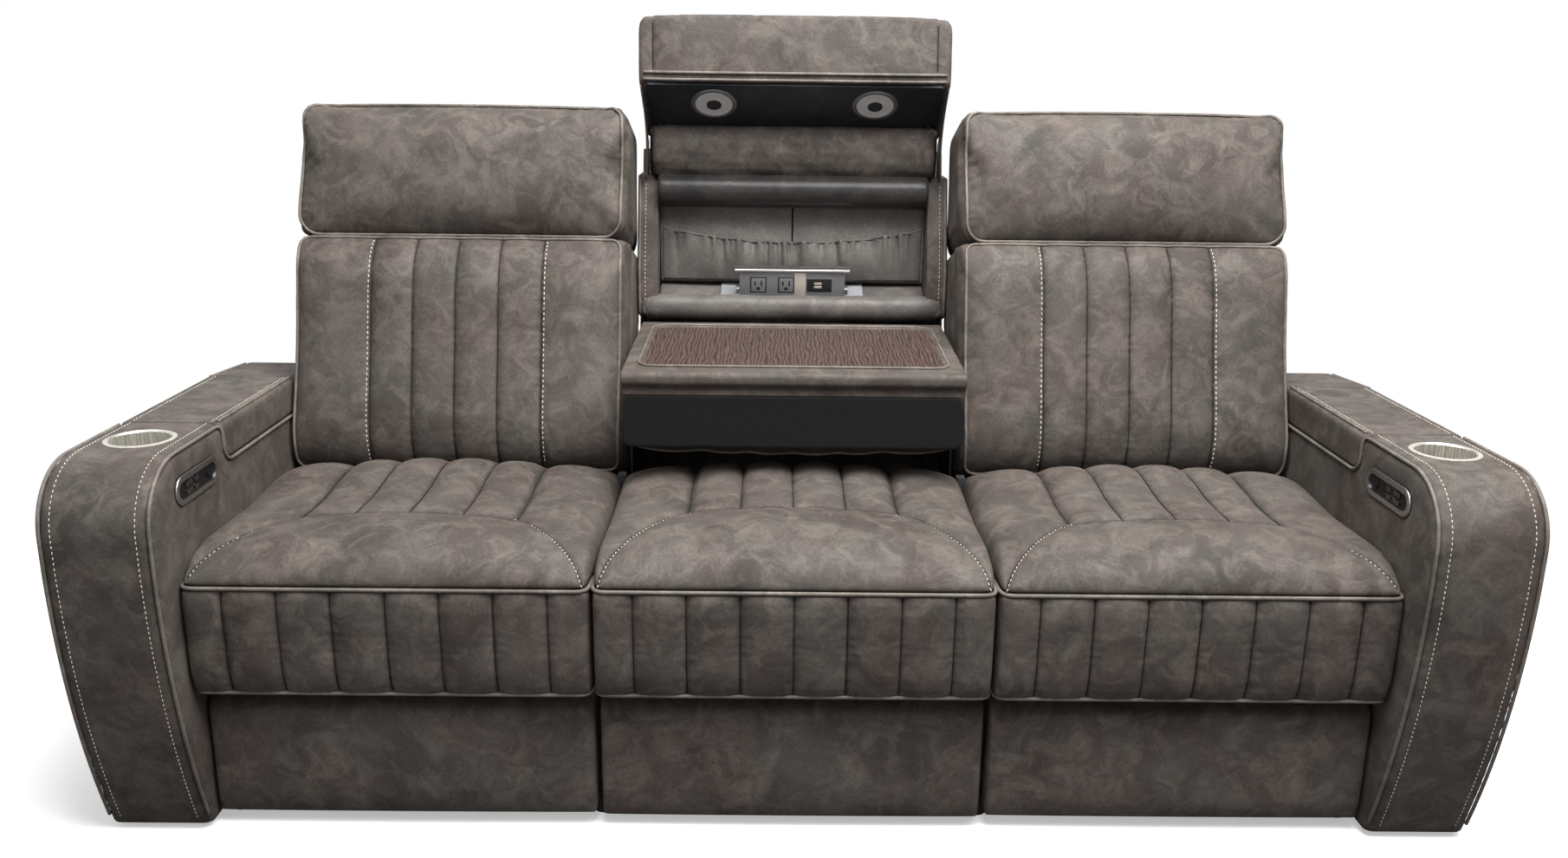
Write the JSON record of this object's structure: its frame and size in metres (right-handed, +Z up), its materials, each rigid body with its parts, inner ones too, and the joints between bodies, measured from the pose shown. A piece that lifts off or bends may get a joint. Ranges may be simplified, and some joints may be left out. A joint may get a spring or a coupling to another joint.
{
  "type": "reclining sofa with drop-down console",
  "caption": "Power reclining sofa with channelled cushions, opening footrests, a fold-down tray console, flip-up headrest with reading lights, storage arms and cup holders.",
  "frame": {"origin": "middle of the footprint on the floor", "axes": "+X along the sofa to the viewer's right, -Y towards the front, +Z up"},
  "size_m": [2.21, 0.99, 1.309],
  "materials": {
    "upholstery": "mottled suede-finish, matt",
    "timber": "unfinished plywood and pine",
    "black_steel": "semi-gloss black powder coat",
    "satin_steel": "satin",
    "black_plastic": "satin",
    "grey_plastic": "matt moulded",
    "dark_panel": "matt",
    "wood_grain": "semi-gloss dark wood grain",
    "lamp_metal": "polished",
    "rubber_feet": "matt black"
  },
  "bodies": {
    "frame": {"base_frame": "timber", "seat_decks": "timber", "feet": "rubber_feet", "mid_lower_fascia": "upholstery", "console_pivot_brackets": "black_steel", "flip_headrest_brackets": "black_steel", "middle_back_frame": "upholstery", "recess_roll": "upholstery", "storage_pouch": "upholstery", "console_ledge": "upholstery", "power_module_plate": "grey_plastic", "left_seat_cushion": "upholstery", "left_front_panel": "upholstery", "mid_seat_cushion": "upholstery", "mid_front_panel": "upholstery", "right_seat_cushion": "upholstery", "right_front_panel": "upholstery", "left_arm": "upholstery", "left_storage_bin": "black_plastic", "left_cup_holder": "satin_steel", "left_control_bezel": "satin_steel", "left_control_insert": "black_plastic", "left_mechanism_frame": "black_steel", "left_recline_motor": "dark_panel", "right_arm": "upholstery", "right_storage_bin": "black_plastic", "right_cup_holder": "satin_steel", "right_control_bezel": "satin_steel", "right_control_insert": "black_plastic", "right_mechanism_frame": "black_steel", "right_recline_motor": "dark_panel"},
    "left_lid": {"left_arm_lid": "upholstery"},
    "left_back": {"left_back_frame": "upholstery", "left_lumbar_cushion": "upholstery"},
    "left_head": {"left_headrest": "upholstery"},
    "left_drive": {"left_drive_links": "black_steel"},
    "left_links": {"left_front_links": "black_steel"},
    "left_footrest_panel": {"left_footrest": "upholstery"},
    "left_recline_control": {"left_recline_rocker": "black_plastic"},
    "left_headrest_control": {"left_headrest_rocker": "black_plastic"},
    "right_lid": {"right_arm_lid": "upholstery"},
    "right_back": {"right_back_frame": "upholstery", "right_lumbar_cushion": "upholstery"},
    "right_head": {"right_headrest": "upholstery"},
    "right_drive": {"right_drive_links": "black_steel"},
    "right_links": {"right_front_links": "black_steel"},
    "right_footrest_panel": {"right_footrest": "upholstery"},
    "right_recline_control": {"right_recline_rocker": "black_plastic"},
    "right_headrest_control": {"right_headrest_rocker": "black_plastic"},
    "console": {"console_cushion": "upholstery", "console_tray_frame": "upholstery", "console_wood_panel": "wood_grain", "console_hinge_plates": "black_steel"},
    "power_strip": {"power_module": "grey_plastic"},
    "flip_head": {"flip_headrest": "upholstery", "light_panel": "dark_panel", "reading_light_rings": "lamp_metal", "flip_headrest_arms": "black_steel"},
    "left_lamp_switch": {"left_reading_light_button": "black_plastic"},
    "right_lamp_switch": {"right_reading_light_button": "black_plastic"}
  },
  "joints": [
    {"name": "left_arm_lid_hinge", "type": "hinge", "parent": "frame", "child": "left_lid", "pos_m": [-1.105, -0.0495, 0.597], "axis": [0, -1, 0], "range_deg": [0, 85]},
    {"name": "left_back_recline", "type": "hinge", "parent": "frame", "child": "left_back", "pos_m": [-0.625, 0.14, 0.42], "axis": [-1, 0, 0], "range_deg": [0, 30]},
    {"name": "left_headrest_tilt", "type": "hinge", "parent": "left_back", "child": "left_head", "pos_m": [-0.625, 0.17766, 0.89475], "axis": [1, 0, 0], "range_deg": [0, 35]},
    {"name": "left_footrest_drive", "type": "hinge", "parent": "frame", "child": "left_drive", "pos_m": [-0.625, -0.0594, 0.0876], "axis": [1, 0, 0], "range_deg": [0, 44.82]},
    {"name": "left_footrest_knee", "type": "hinge", "parent": "left_drive", "child": "left_links", "pos_m": [-0.625, -0.27126, 0.34062], "axis": [-1, 0, 0], "range_deg": [0, 162.66]},
    {"name": "left_footrest_panel_pivot", "type": "hinge", "parent": "left_links", "child": "left_footrest_panel", "pos_m": [-0.625, -0.3, 0.04], "axis": [1, 0, 0], "range_deg": [0, 41.96]},
    {"name": "left_recline_rocker_press", "type": "hinge", "parent": "frame", "child": "left_recline_control", "pos_m": [-0.93875, -0.35, 0.5785], "axis": [0, 0, 1], "range_deg": [-4, 4], "stiffness_Nm_per_rad": 0.6},
    {"name": "left_headrest_rocker_press", "type": "hinge", "parent": "frame", "child": "left_headrest_control", "pos_m": [-0.93875, -0.35, 0.5655], "axis": [0, 0, 1], "range_deg": [-4, 4], "stiffness_Nm_per_rad": 0.6},
    {"name": "right_arm_lid_hinge", "type": "hinge", "parent": "frame", "child": "right_lid", "pos_m": [1.105, -0.0495, 0.597], "axis": [0, 1, 0], "range_deg": [0, 85]},
    {"name": "right_back_recline", "type": "hinge", "parent": "frame", "child": "right_back", "pos_m": [0.625, 0.14, 0.42], "axis": [-1, 0, 0], "range_deg": [0, 30]},
    {"name": "right_headrest_tilt", "type": "hinge", "parent": "right_back", "child": "right_head", "pos_m": [0.625, 0.17766, 0.89475], "axis": [1, 0, 0], "range_deg": [0, 35]},
    {"name": "right_footrest_drive", "type": "hinge", "parent": "frame", "child": "right_drive", "pos_m": [0.625, -0.0594, 0.0876], "axis": [1, 0, 0], "range_deg": [0, 44.82]},
    {"name": "right_footrest_knee", "type": "hinge", "parent": "right_drive", "child": "right_links", "pos_m": [0.625, -0.27126, 0.34062], "axis": [-1, 0, 0], "range_deg": [0, 162.66]},
    {"name": "right_footrest_panel_pivot", "type": "hinge", "parent": "right_links", "child": "right_footrest_panel", "pos_m": [0.625, -0.3, 0.04], "axis": [1, 0, 0], "range_deg": [0, 41.96]},
    {"name": "right_recline_rocker_press", "type": "hinge", "parent": "frame", "child": "right_recline_control", "pos_m": [0.93875, -0.35, 0.5785], "axis": [0, 0, 1], "range_deg": [-4, 4], "stiffness_Nm_per_rad": 0.6},
    {"name": "right_headrest_rocker_press", "type": "hinge", "parent": "frame", "child": "right_headrest_control", "pos_m": [0.93875, -0.35, 0.5655], "axis": [0, 0, 1], "range_deg": [-4, 4], "stiffness_Nm_per_rad": 0.6},
    {"name": "console_drop", "type": "hinge", "parent": "frame", "child": "console", "pos_m": [0, 0.154, 0.631], "axis": [-1, 0, 0], "range_deg": [0, 107.1]},
    {"name": "power_module_lift", "type": "slide", "parent": "frame", "child": "power_strip", "axis": [0, -0.3907, 0.9205], "range_m": [-0.0575, 0]},
    {"name": "headrest_flip", "type": "hinge", "parent": "frame", "child": "flip_head", "pos_m": [0, 0.362, 1.073], "axis": [1, 0, 0], "range_deg": [0, 110]},
    {"name": "left_lamp_button_press", "type": "slide", "parent": "flip_head", "child": "left_lamp_switch", "axis": [0, 0.6032, 0.7976], "range_m": [0, 0.0015], "stiffness_N_per_m": 600},
    {"name": "right_lamp_button_press", "type": "slide", "parent": "flip_head", "child": "right_lamp_switch", "axis": [0, 0.6032, 0.7976], "range_m": [0, 0.0015], "stiffness_N_per_m": 600}
  ],
  "couplings": [
    {"joint": "left_footrest_knee", "follows": "left_footrest_drive", "ratio": 3.6281},
    {"joint": "left_footrest_panel_pivot", "follows": "left_footrest_drive", "ratio": 0.93507},
    {"joint": "right_footrest_knee", "follows": "right_footrest_drive", "ratio": 3.6281},
    {"joint": "right_footrest_panel_pivot", "follows": "right_footrest_drive", "ratio": 0.93507}
  ]
}
